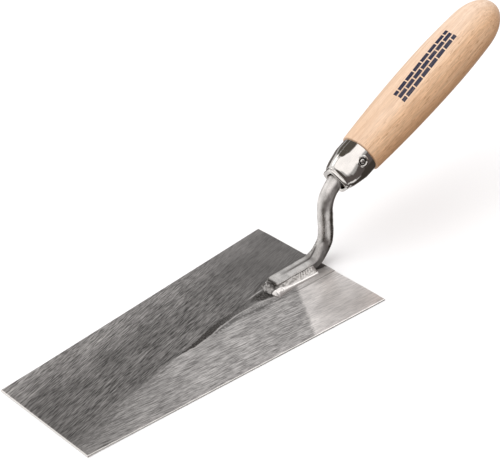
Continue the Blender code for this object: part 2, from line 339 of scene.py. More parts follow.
def make_world():
    """A pale room. What shiny surfaces mirror is painted in soft patches, each over the one before."""
    world = bpy.data.worlds.new("studio")
    bpy.context.scene.world = world
    world.use_nodes = True
    nodes = Nodes(world.node_tree)
    ray = nodes.add("TexCoord", {}).outputs["Generated"]
    mirrored = MIRRORED_ROOM
    for azimuth, elevation, inner, outer, colour in PATCHES:
        middle = direction(math.radians(azimuth), math.radians(elevation))
        limits = math.cos(math.radians(outer)), math.cos(math.radians(inner))
        inside = nodes.remap(nodes.dot(ray, middle), *limits, interpolation_type="SMOOTHSTEP")
        mirrored = nodes.blend(inside, mirrored, (*colour, 1))
    facing = nodes.dot(ray, Vector(KEY_DIRECTION).normalized())
    room = nodes.blend(nodes.remap(facing, -ROOM_FADE, ROOM_FADE), SHADED_ROOM, LIT_ROOM)
    path = nodes.add("LightPath", {})
    room = nodes.blend(path.outputs["Is Glossy Ray"], room, mirrored)
    room = nodes.blend(path.outputs["Is Camera Ray"], room, BACKDROP)
    nodes.put(nodes.tree.nodes["Background"].inputs["Color"], room)


def sun_light(name, from_direction, softness_degrees, strength):
    data = bpy.data.lights.new(name, "SUN")
    data.angle = math.radians(softness_degrees)
    data.energy = strength
    light = bpy.data.objects.new(name, data)
    light.rotation_mode = "QUATERNION"
    light.rotation_quaternion = Vector(from_direction).normalized().to_track_quat("Z", "Y")
    light.visible_glossy = False
    bpy.context.scene.collection.objects.link(light)


def make_lights():
    sun_light("key", KEY_DIRECTION, softness_degrees=50.0, strength=1.15)
    sun_light("fill", FILL_DIRECTION, softness_degrees=60.0, strength=0.5)


def make_floor():
    half = 4000.0
    points = [(-half, -half, 0), (half, -half, 0), (half, half, 0), (-half, half, 0)]
    floor = add_piece("floor", points, [(0, 1, 2, 3)])
    graph = Graph("floor_paper", (0.93, 0.93, 0.93), 0.0, 0.9)
    graph.bump(graph.noise((1.5, 1.5, 1.5)), 0.05, 0.05)
    floor.data.materials.append(graph.material)
    floor.visible_glossy = False
    floor.visible_diffuse = False


# Blade ----------------------------------------------------

EDGE_ROUND = 0.5
LINE_GAP = 0.2  # from a line on the tongue's edge to the next one
SLOPE_WIDTH = 1.2
CREST_HALF_WIDTH = 0.2
LEAST_GAP = 0.1
EDGE_SHARE = 0.06  # the tongue's height at its edge, as a share of the crest's
NARROWS = (44.0, 54.0)  # where the tongue's flat top becomes a crest
THINNED_BY = 0.3  # the grinding takes this off at the long edges
THINNED_WIDTH = 12.0
THINNED_END = (170.0, 198.0)
# The raised tongue's outline and crest: (x, y) from the rear edge and the middle line
TONGUE_FAR = (
    (0, -12.5), (20, -12.0), (36, -10.3), (44, -6.8), (57, -4.1), (71, -0.9), (81, 1.0), (92, 3.2),
    (104, 6.3), (113, 7.5), (126, 10.8), (153, 15.7), (182, 22.3), (200, 26.8),
)
TONGUE_CREST = (
    (0, 0.0), (48, 3.0), (53, 4.4), (63, 4.0), (69, 3.9), (76, 4.9), (81, 5.3), (86, 6.4), (91, 7.9),
    (96, 8.2), (102, 9.2), (107, 9.5), (113, 8.5), (126, 11.1), (153, 16.0), (182, 22.6), (200, 27.2),
)
TONGUE_NEAR = (
    (0, 13.5), (29, 12.3), (50, 10.2), (63, 7.7), (71, 6.8), (80, 7.2), (91, 8.5), (102, 9.8),
    (107, 10.1), (113, 9.2), (126, 11.5), (153, 16.3), (182, 22.9), (200, 27.6),
)
# (x, height)
CREST_HEIGHT = ((0, 0.5), (52, 0.5), (66, 0.42), (92, 0.26), (112, 0.1), (130, 0.0), (200, 0.0))


def eased(table, x):
    """A table's line with its corners rounded."""
    xs, ys = np.array(table, float).T
    spread = np.linspace(-2.5, 2.5, 7)
    return np.mean([np.interp(np.clip(x + s, xs[0], xs[-1]), xs, ys) for s in spread], 0)


def blade_lines(x, half_width):
    """The Y of the blade's lines at each x, some of them on the tongue's edges, and their height."""
    far = eased(TONGUE_FAR, x)
    crest = eased(TONGUE_CREST, x)
    near = eased(TONGUE_NEAR, x)
    height = eased(CREST_HEIGHT, x)
    narrow = smooth_step(*NARROWS, x)
    far_top = (far + SLOPE_WIDTH) * (1 - narrow) + (crest - CREST_HALF_WIDTH) * narrow
    near_top = (near - SLOPE_WIDTH) * (1 - narrow) + (crest + CREST_HALF_WIDTH) * narrow
    near_top = np.minimum(near_top, near - LEAST_GAP)
    far_top = np.minimum(np.maximum(far_top, far + LEAST_GAP), near_top - LEAST_GAP)
    inner = half_width - EDGE_ROUND
    # from, to, steps, and the share of the crest's height at both ends
    bands = (
        (-inner, far - LINE_GAP, 30, 0.0, 0.0),
        (far - LINE_GAP, far + LINE_GAP, 1, 0.0, EDGE_SHARE),
        (far + LINE_GAP, far_top, 6, EDGE_SHARE, 1.0),
        (far_top, near_top, 6, 1.0, 1.0),
        (near_top, near, 6, 1.0, EDGE_SHARE),
        (near, near + LINE_GAP, 1, EDGE_SHARE, 0.0),
        (near + LINE_GAP, inner, 26, 0.0, 0.0),
    )
    lines, heights = [], []
    for low, high, steps, first, last in bands:
        for t in np.arange(steps) / steps:
            lines.append(low + (high - low) * t)
            heights.append(height * (first + (last - first) * t))
    lines.append(inner)
    heights.append(np.zeros_like(height))
    return np.stack(lines, 1), np.stack(heights, 1)


def grid(rows, columns):
    """The faces of a grid of points, and the loop of points round it."""
    faces = []
    for i in range(rows - 1):
        for j in range(columns - 1):
            a = i * columns + j
            faces.append((a, a + columns, a + columns + 1, a + 1))
    rim = [i * columns for i in range(rows)]
    rim += [(rows - 1) * columns + j for j in range(1, columns)]
    rim += [i * columns + columns - 1 for i in range(rows - 2, -1, -1)]
    rim += list(range(columns - 2, 0, -1))
    return faces, rim


def edge_layers(edge, along, half_width):
    """Loops of points down the blade's sides and in under them, from the loop round its top."""
    near_enough = 0.01
    x, y = edge[:, 0], edge[:, 1]
    side = np.interp(x, along, half_width) - EDGE_ROUND
    outward = np.zeros_like(edge)
    outward[:, 0] = np.where(x < along[0] + near_enough, -1, np.where(x > along[-1] - near_enough, 1, 0))
    outward[:, 1] = np.where(np.abs(y) > side - near_enough, np.sign(y), 0)
    layers = []
    # out and down as shares of the edge's rounding, then out and the height
    for out, down in ((0.94, 0.8), (1.0, 1.0)):
        layer = edge + outward * EDGE_ROUND * out
        layer[:, 2] -= down * EDGE_ROUND
        layers.append(layer)
    for out, height in ((1.0, EDGE_ROUND / 2), (0.5, 0.0)):
        layer = edge + outward * EDGE_ROUND * out
        layer[:, 2] = height
        layers.append(layer)
    return layers


def make_blade():
    low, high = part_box("blade")
    length = (high.x - low.x) / MM
    rear_width = (high.y - low.y) / MM
    along = np.linspace(EDGE_ROUND, length - EDGE_ROUND, 181)
    half_width = (rear_width + (TOE_WIDTH - rear_width) * along / length) / 2
    lines, raised = blade_lines(along, half_width)
    rows, columns = lines.shape
    x = np.repeat(along[:, None], columns, 1)
    by_edge = 1 - smooth_step(0.0, THINNED_WIDTH, half_width[:, None] - np.abs(lines))
    top = BLADE_THICKNESS + raised - THINNED_BY * by_edge * (1 - smooth_step(*THINNED_END, x))
    points = np.stack([x, lines, top], 2).reshape(-1, 3)
    faces, upper = grid(rows, columns)
    for layer in edge_layers(points[upper], along, half_width):
        first, count = len(points), len(layer)
        lower = list(range(first, first + count))
        for k in range(count):
            n = (k + 1) % count
            faces.append((upper[k], lower[k], lower[n], upper[n]))
        points = np.concatenate([points, layer])
        upper = lower
    faces.append(tuple(upper[::-1]))
    blade = add_piece("blade_ground", points, faces, on_blade(), 30.0)
    x, y = points[:, 0], points[:, 1]
    for name, table in (("from_far", TONGUE_FAR), ("from_crest", TONGUE_CREST), ("from_near", TONGUE_NEAR)):
        point_attribute(blade, name, y - np.interp(x, along, eased(table, along)))
    point_attribute(blade, "side", np.arange(len(points)) >= rows * columns)
    blade.visible_glossy = False
    finish_piece(blade, "blade", BladeSteel().material)


FAR_BRUSH = math.radians(13.5)
NEAR_BRUSH = math.radians(-8.0)
# length and width in millimetres, angle to the brushing, weight
STREAK_LAYERS = ((4.4, 0.4, 0.0, 1.7), (9.0, 0.44, 0.02, 1.2), (18.0, 0.9, -0.02, 0.1))
STREAK_SPREAD = 0.36
STREAK_RANGE = (0.45, 1.55)  # the tone of most streaks
BRIGHT_SCRATCH = (14.0, 0.65, 1.0)
# Places along the blade: from where a look starts to change to where it stops
CALM_REAR = (30.0, 75.0)
TOE_DARKENS = (150.0, 215.0)
SPECKS_START = (26.0, 46.0)
ROOT_END = (46.0, 54.0)
CREST_HIGHLIGHT_START = (54.0, 60.0)
EDGES_SOFTEN = (108.0, 190.0)
# Painted shade on the tongue's far slope: where it starts, deepens, flattens and ends
SLOPE_SHADE_START = (50.0, 58.0)
SLOPE_SHADE_DEEPENS = (54.0, 84.0)
SLOPE_SHADE_FLAT = (56.0, 78.0)
SLOPE_SHADE_END = (112.0, 118.0)
# The step before the toe weld: painted shade, with a painted highlight glinting on its edge
STEP_BEGINS = (41.0, 42.5)
STEP_GLINTS = (41.0, 45.0)
STEP_FADES = (50.0, 57.0)
DOTS_END = (86.0, 94.0)
REAR_DARK_FADES = (8.8, 9.6)
STEP_START = 44.0
STEP_FAR_Y = -3.0
STEP_FAR_SLOPE = 0.07
STEP_NEAR_Y = 6.8
STEP_NEAR_SLOPE = 0.25
# Slanting lines across the two halves
CORNER_SLOPE = 0.16
CORNER_LIGHTENS = (46.0, 76.0)
HEEL_SLOPE = 0.6
HEEL_LINE = (-22.5, -20.0)
DOT_PITCH = 1.9
# The two halves' tones are a painted reflection of their brushing: the far half is painted dark, the near
# half lighter
FAR_STEEL_PAINTED_REFLECTION = (0.20, 0.192, 0.188, 1)
EDGE_STEEL = (0.36, 0.345, 0.34, 1)
NEAR_STEEL_PAINTED_REFLECTION = (0.44, 0.425, 0.42, 1)
TOE_STEEL = (0.33, 0.318, 0.312, 1)
HEEL_STEEL = (0.80, 0.768, 0.755, 1)
TONGUE_TINT = (0.84, 0.84, 0.84, 1)
SPECK = (0.12, 0.115, 0.11, 1)
ROOT_SHADE = (0.16, 0.155, 0.15, 1)
# the painted highlight along the tongue's crest
CREST_PAINTED_HIGHLIGHT = (0.60, 0.58, 0.57, 1)
DOT_SHADE = (0.15, 0.145, 0.14, 1)
# the dark speckled colour of the painted shade on the far slope and the step
PAINTED_SHADE_BLACK = (0.035, 0.031, 0.029, 1)
PAINTED_SHADE_GREY = (0.13, 0.122, 0.116, 1)
# the painted highlight round the step
GLINT_PAINTED_HIGHLIGHT = (0.62, 0.60, 0.59, 1)
REAR_DARK = (0.055, 0.042, 0.038, 1)
BARE_SIDE = (0.88, 0.86, 0.84, 1)


class BladeSteel(Graph):
    """Ground steel: two halves scratched in two directions, and painted shade on the tongue's far slope and
    on the step before the toe weld.
    """

    def __init__(self):
        super().__init__("ground_steel", (0.42, 0.41, 0.41), 1.0, 0.4)
        self.from_far = self.attribute("from_far")
        self.from_crest = self.attribute("from_crest")
        self.from_near = self.attribute("from_near")
        self.cloud = self.noise((26.0, 14.0, 1.0), turn=FAR_BRUSH)
        self.wobble = self.minus(self.noise((2.6, 1.2, 1.0), 2.0, turn=FAR_BRUSH), 0.5)
        self.speckle = self.noise((0.8, 0.8, 0.8), 2.0, 0.6)
        self.far_streaks = self.streaks(FAR_BRUSH)
        self.near_streaks = self.streaks(NEAR_BRUSH)
        # both halves meet the tongue in ragged lines, which soften toward the toe
        spread = self.remap(self.x, *EDGES_SOFTEN, 0.25, 9.0)
        ragged = self.times(self.wobble, self.times(spread, 2.5))
        beyond_near = self.math("DIVIDE", self.plus(self.from_near, ragged), spread)
        beyond_far = self.math("DIVIDE", self.plus(self.from_far, ragged), spread)
        self.near_side = self.remap(beyond_near, -1.0, 1.0)
        self.far_side = self.remap(beyond_far, 1.0, -1.0)
        side = self.attribute("side")
        self.set("Base Color", self.blend(side, self.top_colour(), BARE_SIDE))
        height = self.mix(self.far_side, self.near_streaks, self.far_streaks)
        self.set("Roughness", self.mix(side, self.remap(height, *STREAK_RANGE, 0.48, 0.34), 0.2))
        self.bump(height, 0.35, 0.02)

    def top_colour(self):
        """The tongue between the two halves, with dots, painted shade, a painted highlight and a darker rear
        patch over them.
        """
        far_colour, near_colour = self.far_half(), self.near_half()
        step, glint = self.painted_step_shade_and_glint()
        # painted shade on the tongue's far slope and on the step before the toe weld, in one mask
        scale = self.math("MAXIMUM", self.far_slope_painted_shade(), step)
        dark = self.blend(self.remap(self.speckle, 0.4, 0.65), PAINTED_SHADE_BLACK, PAINTED_SHADE_GREY)
        colour = self.blend(self.near_side, self.tongue(far_colour, near_colour), near_colour)
        colour = self.blend(self.far_side, colour, far_colour)
        colour = self.blend(self.edge_dots(), colour, DOT_SHADE)
        colour = self.blend(scale, colour, dark)
        # a painted highlight round the step before the toe weld
        colour = self.blend(glint, colour, GLINT_PAINTED_HIGHLIGHT)
        # darker at the rear edge, on the neck's right
        colour = self.blend(self.rear_dark_patch(), colour, REAR_DARK)
        return self.tone(colour, self.remap(self.cloud, 0.3, 0.7, 0.86, 1.14))

    def streaks(self, turn):
        """Fine grinding scratches along one direction, about 1 on average."""
        total = 0.0
        for length, width, tilt, weight in STREAK_LAYERS:
            layer = self.noise((length, width, 1.0), 1.0, turn=turn + tilt)
            total = self.plus(self.times(layer, weight), total)
        even = sum(layer[3] for layer in STREAK_LAYERS) / 2
        tone = self.remap(total, even - STREAK_SPREAD, even + STREAK_SPREAD, 0.4, 1.6)
        bright = self.noise(BRIGHT_SCRATCH, 1.0, turn=turn + 0.03)
        return self.plus(tone, self.remap(bright, 0.62, 0.74, 0.0, 0.7))

    def far_half(self):
        """Dark steel, as a painted reflection of its brushing, lighter along its edge and toward the toe's
        corner, and calmer at the rear.
        """
        corner = self.minus(self.times(self.x, CORNER_SLOPE), self.y)
        corner = self.remap(self.plus(corner, self.times(self.cloud, 16.0)), *CORNER_LIGHTENS)
        colour = self.blend(corner, FAR_STEEL_PAINTED_REFLECTION, EDGE_STEEL)
        calm = self.remap(self.far_streaks, *STREAK_RANGE, 0.7, 1.0)
        return self.tone(colour, self.mix(self.remap(self.x, *CALM_REAR), calm, self.far_streaks))

    def near_half(self):
        """Mid grey steel, as a painted reflection of its brushing, darker toward the toe, and smoother and
        lighter behind a slanting line.
        """
        slant = self.minus(self.times(self.y, HEEL_SLOPE), self.x)
        heel = self.remap(self.plus(slant, self.times(self.wobble, 3.5)), *HEEL_LINE)
        toe = self.remap(self.plus(self.x, self.times(self.cloud, 60.0)), *TOE_DARKENS)
        colour = self.blend(heel, self.blend(toe, NEAR_STEEL_PAINTED_REFLECTION, TOE_STEEL), HEEL_STEEL)
        even = self.remap(self.near_streaks, 0.4, 1.6, 0.54, 1.46)
        calm = self.remap(self.near_streaks, *STREAK_RANGE, 0.84, 1.14)
        return self.tone(colour, self.mix(heel, even, calm))

    def tongue(self, far_colour, near_colour):
        """The near half's steel, speckled, with a dark line at its root, a painted highlight along its crest
        and a far slope.
        """
        specks = self.remap(self.speckle, 0.6, 0.42)
        specks = self.times(self.remap(self.x, *SPECKS_START, 0.1, 0.5), specks)
        root = self.line(self.from_near, -0.35, 0.5, 0.15, 0.45)
        root = self.times(root, self.remap(self.x, *ROOT_END, 1.0, 0.0))
        # a painted highlight along the crest
        crest_highlight = self.line(self.from_crest, 0.5, 0.5, 0.15)
        crest_highlight = self.times(crest_highlight, self.remap(self.x, *CREST_HIGHLIGHT_START, 0.0, 0.8))
        colour = self.tint(1.0, near_colour, TONGUE_TINT)
        colour = self.blend(specks, colour, SPECK)
        colour = self.blend(root, colour, ROOT_SHADE)
        colour = self.blend(self.remap(self.from_crest, -1.0, -4.0), colour, far_colour)
        return self.blend(crest_highlight, colour, CREST_PAINTED_HIGHLIGHT)

    def far_slope_painted_shade(self):
        """Painted shade on the tongue's far slope, darker toward the toe, where it ends in a point."""
        flat = self.remap(self.x, *SLOPE_SHADE_FLAT, 3.2, 0.2)
        depth = self.math("MINIMUM", self.minus(self.from_far, flat), self.times(self.from_crest, -1.0))
        depth = self.plus(depth, self.times(self.wobble, 2.2))
        deepening = self.remap(self.x, *SLOPE_SHADE_DEEPENS, 0.25, 1.0)
        ending = self.remap(self.x, *SLOPE_SHADE_END, 1.0, 0.0)
        return self.times(self.remap(depth, -0.2, 0.4), deepening, ending, self.remap(self.x, *SLOPE_SHADE_START))

    def painted_step_shade_and_glint(self):
        """Painted shade on the step in front of the toe weld, and a painted highlight glinting round it."""
        along = self.minus(self.x, STEP_START)
        far_line = self.minus(self.minus(self.y, self.times(along, STEP_FAR_SLOPE)), STEP_FAR_Y)
        near_line = self.minus(self.minus(STEP_NEAR_Y, self.times(along, STEP_NEAR_SLOPE)), self.y)
        inside = self.math("MINIMUM", far_line, near_line)
        ragged = self.plus(inside, self.times(self.wobble, 1.5))
        lengthwise = self.times(self.remap(self.x, *STEP_BEGINS), self.remap(self.x, *STEP_FADES, 1.0, 0.0))
        glinting = self.times(lengthwise, self.remap(self.x, *STEP_GLINTS, 0.0, 0.75))
        step = self.times(self.remap(ragged, 0.2, 1.6), lengthwise)
        return step, self.times(self.line(inside, -0.15, 0.6, 0.25), glinting)

    def edge_dots(self):
        """A row of dark dots along the tongue's near edge."""
        dots = self.remap(self.spots(DOT_PITCH, 0.7), 0.25, 0.5)
        starting = self.remap(self.x, *ROOT_END, 0.0, 0.7)
        ending = self.remap(self.x, *DOTS_END, 1.0, 0.0)
        return self.times(self.line(self.from_near, 0.3, 1.6, 0.8), starting, ending, dots)

    def rear_dark_patch(self):
        """A darker patch at the rear edge, on the neck's right."""
        ragged = self.plus(self.times(self.wobble, 2.0), self.times(self.x, 0.2))
        across = self.times(self.remap(self.plus(self.y, ragged), 7.2, 6.6), self.remap(self.y, -2.0, 0.0))
        return self.times(across, self.remap(self.x, *REAR_DARK_FADES, 0.9, 0.0))


# Neck -----------------------------------------------------

FOOT_BLEND = (-2.0, 9.0)  # from the round rod to the flattened foot
TOE_NARROWS = 0.3  # at the foot's very end, as a share of its width
TOE_TAPER = 3.0
CREASE_Y = -0.7
CREASE_DEPTH = 0.4
CREASE_WIDTH = 0.55
CREASE_SHADE = 0.75  # width of the dark line in it
CREASE_END = (34.0, 30.0)
# The neck's marks: from where each starts to change to where it stops, along X, Y or Z
CREASE_SHADE_X = ((0.0, 3.0), (34.0, 20.0))
TOE_DARK_X, TOE_DARK_Y = (36.8, 37.6), (-3.5, -2.0)
HEEL_SATIN_X, HEEL_SATIN_Z = ((-4.0, 0.0), (13.0, 7.0)), (16.0, 11.0)
TOP_SATIN_Z = (32.0, 40.0)
PITTED_X, PITTED_Y, PITTED_Z = (9.0, 2.0), (-0.5, -2.0), (19.0, 12.0)
# painted light: the riser is painted lighter toward its top
RISER_PAINTED_LIGHT = (12.0, 26.0)
DENTS = ((5.0, 0.16), (1.6, 0.04))
ROD_STEEL = (0.57, 0.555, 0.545)
PIN_STEEL = (0.7, 0.68, 0.66)
# the painted shade in the crease, and the colour of the pits
ROD_PITS_AND_PAINTED_SHADE = (0.07, 0.062, 0.058, 1)


def axis_point(along):
    """A place on the handle's axis."""
    back, up = along * math.cos(HANDLE_ANGLE), along * math.sin(HANDLE_ANGLE)
    return np.array([-back, 0, AXIS_Z_AT_REAR_EDGE + up])


def line_stations(start, end, step):
    """(point, heading) pairs along a straight run, without its last point."""
    run = end - start
    heading = math.atan2(run[2], run[0])
    count = max(1, round(np.linalg.norm(run) / step))
    return [(start + run * i / count, heading) for i in range(count)]


def arc_stations(centre, radius, first, last, step):
    """The same along an arc, from the first angle to the last."""
    count = max(1, round(abs(last - first) * radius / step))
    side = math.copysign(math.pi / 2, last - first)
    stations = []
    for i in range(count):
        angle = first + (last - first) * i / count
        stations.append((centre + radius * np.array([math.cos(angle), 0, math.sin(angle)]), angle + side))
    return stations


def neck_stations(step=0.8):
    """Stations from the foot's toe, round both bends and up the tang."""
    bend_x = RISER_X + LOWER_BEND_RADIUS
    turn = math.pi / 2 - HANDLE_ANGLE
    corner = axis_point(-RISER_X / math.cos(HANDLE_ANGLE))
    riser_top = corner[2] - UPPER_BEND_RADIUS * math.tan(turn / 2)
    lower = np.array([bend_x, 0, FOOT_AXIS_Z + LOWER_BEND_RADIUS])
    upper = np.array([RISER_X - UPPER_BEND_RADIUS, 0, riser_top])
    stations = line_stations(np.array([FOOT_TOE_X, 0, FOOT_AXIS_Z]), np.array([bend_x, 0, FOOT_AXIS_Z]), step)
    stations += arc_stations(lower, LOWER_BEND_RADIUS, 1.5 * math.pi, math.pi, step)
    stations += line_stations(np.array([RISER_X, 0, lower[2]]), np.array([RISER_X, 0, riser_top]), step)
    stations += arc_stations(upper, UPPER_BEND_RADIUS, 0.0, turn, step)
    axis_start = upper + UPPER_BEND_RADIUS * np.array([math.cos(turn), 0, math.sin(turn)])
    stations += line_stations(axis_start, axis_point(TANG_SHOWN), step)
    return stations


def rod_ring(point, heading, sides=96):
    """The neck's outline at a station: round on the rod, low and squarer with a crease on the foot."""
    on_foot = point[2] < FOOT_AXIS_Z + LOWER_BEND_RADIUS
    blend = float(smooth_step(*FOOT_BLEND, point[0])) if on_foot else 0.0
    half_width = ROD_RADIUS + (FOOT_HALF_WIDTH - ROD_RADIUS) * blend
    top = ROD_RADIUS + (FOOT_TOP - ROD_RADIUS) * blend
    bottom = ROD_RADIUS + (FOOT_AXIS_Z - FOOT_BASE_Z - ROD_RADIUS) * blend
    top_power = 1 - FOOT_SQUARENESS * blend
    bottom_power = 2 / (2 + 3 * blend)
    end = 1 - TOE_NARROWS * (1 - smooth_step(0.0, TOE_TAPER, FOOT_TOE_X - point[0])) ** 2
    crease = CREASE_DEPTH * blend * smooth_step(*CREASE_END, point[0])
    normal = np.array([math.sin(heading), 0, -math.cos(heading)])
    points = []
    for angle in ring_angles(sides) + math.pi / sides:
        c, s = math.cos(angle), math.sin(angle)
        power = top_power if s >= 0 else bottom_power
        across = half_width * math.copysign(abs(c) ** power, c)
        if s >= 0:
            up = end * top * s ** power - crease * math.exp(-((across - CREASE_Y) / CREASE_WIDTH) ** 2)
        else:
            up = -bottom * abs(s) ** power
        there = point + np.array([0, end * across, 0]) + up * normal
        dent = sum(lumps(there, size, height) for size, height in DENTS)
        points.append(there + dent * (there - point) / ROD_RADIUS)
    return points


def make_neck():
    points, faces = skin([rod_ring(point, heading) for point, heading in neck_stations()])
    neck = add_piece("neck_rod", points, faces, on_blade(), 50.0)
    x, y, z = points.T
    # painted shade along the crease in the foot's top, with the foot's toe darker too
    crease = np.exp(-((y - CREASE_Y) / CREASE_SHADE) ** 2)
    for limits in CREASE_SHADE_X:
        crease *= smooth_step(*limits, x)
    toe_dark = smooth_step(*TOE_DARK_X, x) * smooth_step(*TOE_DARK_Y, y)
    point_attribute(neck, "crease", np.maximum(crease, toe_dark) * (z > FOOT_AXIS_Z))
    heel = smooth_step(*HEEL_SATIN_Z, z)
    for limits in HEEL_SATIN_X:
        heel *= smooth_step(*limits, x)
    point_attribute(neck, "satin", np.maximum(heel, 0.4 * smooth_step(*TOP_SATIN_Z, z)))
    pitted = smooth_step(*PITTED_X, x) * smooth_step(*PITTED_Y, y) * smooth_step(*PITTED_Z, z)
    point_attribute(neck, "pitted", pitted)
    finish_piece(neck, "neck", rod_material("polished_rod", ROD_STEEL))


def rod_material(name, colour):
    """Polished steel, painted lighter up the riser as painted light, with painted shade in the neck's crease
    and dark pits. The pin has none of the neck's crease, pits and satin.
    """
    graph = Graph(name, colour, 1.0, 0.25)
    cloud = graph.noise((5.0, 5.0, 7.0))
    scratch = graph.noise((0.5, 0.5, 6.0), 2.0)
    tone = graph.remap(graph.plus(cloud, graph.times(scratch, 0.4)), 0.5, 0.9, 0.72, 1.22)
    # painted light, lighter up the riser
    tone = graph.times(tone, graph.remap(graph.z, *RISER_PAINTED_LIGHT, 1.0, 1.4))
    # painted shade in the crease, and dark pits
    crease = graph.times(graph.attribute("crease"), graph.remap(cloud, 0.3, 0.6, 0.8, 1.0))
    pits = graph.remap(graph.noise((0.9, 0.9, 0.9), 1.0), 0.54, 0.62)
    dark = graph.math("MAXIMUM", crease, graph.times(pits, graph.attribute("pitted")))
    graph.set("Base Color", graph.blend(dark, graph.tone((*colour, 1), tone), ROD_PITS_AND_PAINTED_SHADE))
    roughness = graph.remap(cloud, 0.3, 0.7, 0.2, 0.34)
    graph.set("Roughness", graph.plus(roughness, graph.times(graph.attribute("satin"), 0.3)))
    graph.bump(graph.plus(scratch, cloud), 0.2, 0.08)
    return graph.material


# Welds ----------------------------------------------------

WELD_SUNK = 0.15  # how far the welds' skins reach below the plateau's top
WELD_UNDER_FOOT = 3.0  # from the middle to where the side welds start
WELD_OVERLAP = 0.8  # from the foot's side in to where their shape starts
WELD_END_TAPER = 2.0
BEAD_PITCH = 1.9
BEAD_HEIGHT = 0.45
BEAD_PLACE = 0.34  # share of the fillet's width from the foot
BEAD_SPREAD = 0.12
BEADS_START = (9.0, 11.0)
BEADS_END = (25.0, 22.0)
# x, the outer edge's distance from the middle, height by the foot, the ridge's height, and half its share of
# the fillet's width
RIGHT_WELD = (
    (8.0, 9.3, 4.7, 0.5, 0.12), (12.0, 9.2, 5.0, 0.5, 0.12), (28.0, 8.8, 4.9, 0.8, 0.16),
    (34.0, 9.0, 4.2, 1.3, 0.26), (37.5, 9.3, 3.4, 1.8, 0.36), (41.5, 9.5, 2.0, 2.0, 0.42),
)
LEFT_WELD = ((3.0, 7.0, 4.4, 0.3, 0.2), (20.0, 7.1, 4.6, 0.4, 0.2), (38.0, 7.0, 3.6, 0.5, 0.2))
TOE_WELD_CENTRE = (38.4, 0.4)
TOE_WELD_AHEAD = 4.3
TOE_WELD_BEHIND = 3.0
TOE_WELD_RIGHT = 6.2
TOE_WELD_LEFT = 7.0
TOE_WELD_HEIGHT = 3.9
TOE_WELD_SIDE_DROP = 1.3
TOE_WELD_RIGHT_DROP = 0.9
LOBES = 5
LOBE_DEPTH = 0.5
BLOBS_START = (32.5, 35.0)
WELD_REAR_DARK_FADES = (8.8, 12.0)
TOE_SHADE_START = (34.5, 37.0)
WELD_GREY = (0.34, 0.32, 0.305, 1)
WELD_PALE = (0.72, 0.70, 0.68, 1)
WELD_BLACK = (0.05, 0.046, 0.043, 1)
# the welds' colour toward their rear end, by the lower bend
WELD_REAR_DARK = (0.09, 0.06, 0.052, 1)
TOE_SHADE = (0.16, 0.15, 0.145, 1)
# the painted highlight along the welds' ridge
RIDGE_PAINTED_HIGHLIGHT = (0.95, 0.92, 0.90, 1)


def side_weld(name, node, stations, side, material):
    """A fillet along the foot, beaded along its middle, with a ridge along its outer edge."""
    places = np.array(stations, float)
    first_x, last_x = places[0, 0], places[-1, 0]
    inner = FOOT_HALF_WIDTH - WELD_OVERLAP
    shares = np.linspace(0.0, 1.0, 26)
    rings, ridges = [], []
    for x in np.linspace(first_x, last_x, 150):
        outer, height, ridge, half_share = (np.interp(x, places[:, 0], places[:, k]) for k in (1, 2, 3, 4))
        from_end = min(x - first_x, last_x - x)
        taper = math.sqrt(max(0.04, 1 - (1 - min(1.0, from_end / WELD_END_TAPER)) ** 2))
        outer = inner + (outer - inner) * taper
        ridge_start = 1 - 2 * half_share
        beads = math.cos(2 * math.pi * x / BEAD_PITCH)
        beads *= BEAD_HEIGHT * smooth_step(*BEADS_START, x) * smooth_step(*BEADS_END, x)
        row = [(x, side * WELD_UNDER_FOOT, FOOT_BASE_Z - WELD_SUNK)]
        row.append((x, side * WELD_UNDER_FOOT, FOOT_BASE_Z + height * taper))
        for u in shares:
            y = inner + (outer - inner) * u
            crown = ridge * math.sqrt(max(0.0, 1 - ((u - 1 + half_share) / half_share) ** 2))
            z = (height * (1 - u) ** 1.1 + crown) * taper
            uneven = 1 - smooth_step(0.4, ridge_start, u)
            z += (lumps((x, y, 0), 1.3, 0.35) + lumps((x, y, 5), 3.0, 0.4)) * uneven * taper
            z += beads * math.exp(-((u - BEAD_PLACE) / BEAD_SPREAD) ** 2)
            row.append((x, side * y, FOOT_BASE_Z + max(z, -0.1)))
        row.append((x, side * outer, FOOT_BASE_Z - WELD_SUNK))
        # where the ridge's painted highlight goes
        ridge_row = [0.0, 0.0, *smooth_step(ridge_start, ridge_start + 0.08, shares), 1.0]
        rings.append(row if side > 0 else row[::-1])
        ridges += ridge_row if side > 0 else ridge_row[::-1]
    points, faces = skin(rings)
    piece = add_piece(name, points, faces, on_blade(), 60.0)
    point_attribute(piece, "ridge", ridges)
    finish_piece(piece, node, material)


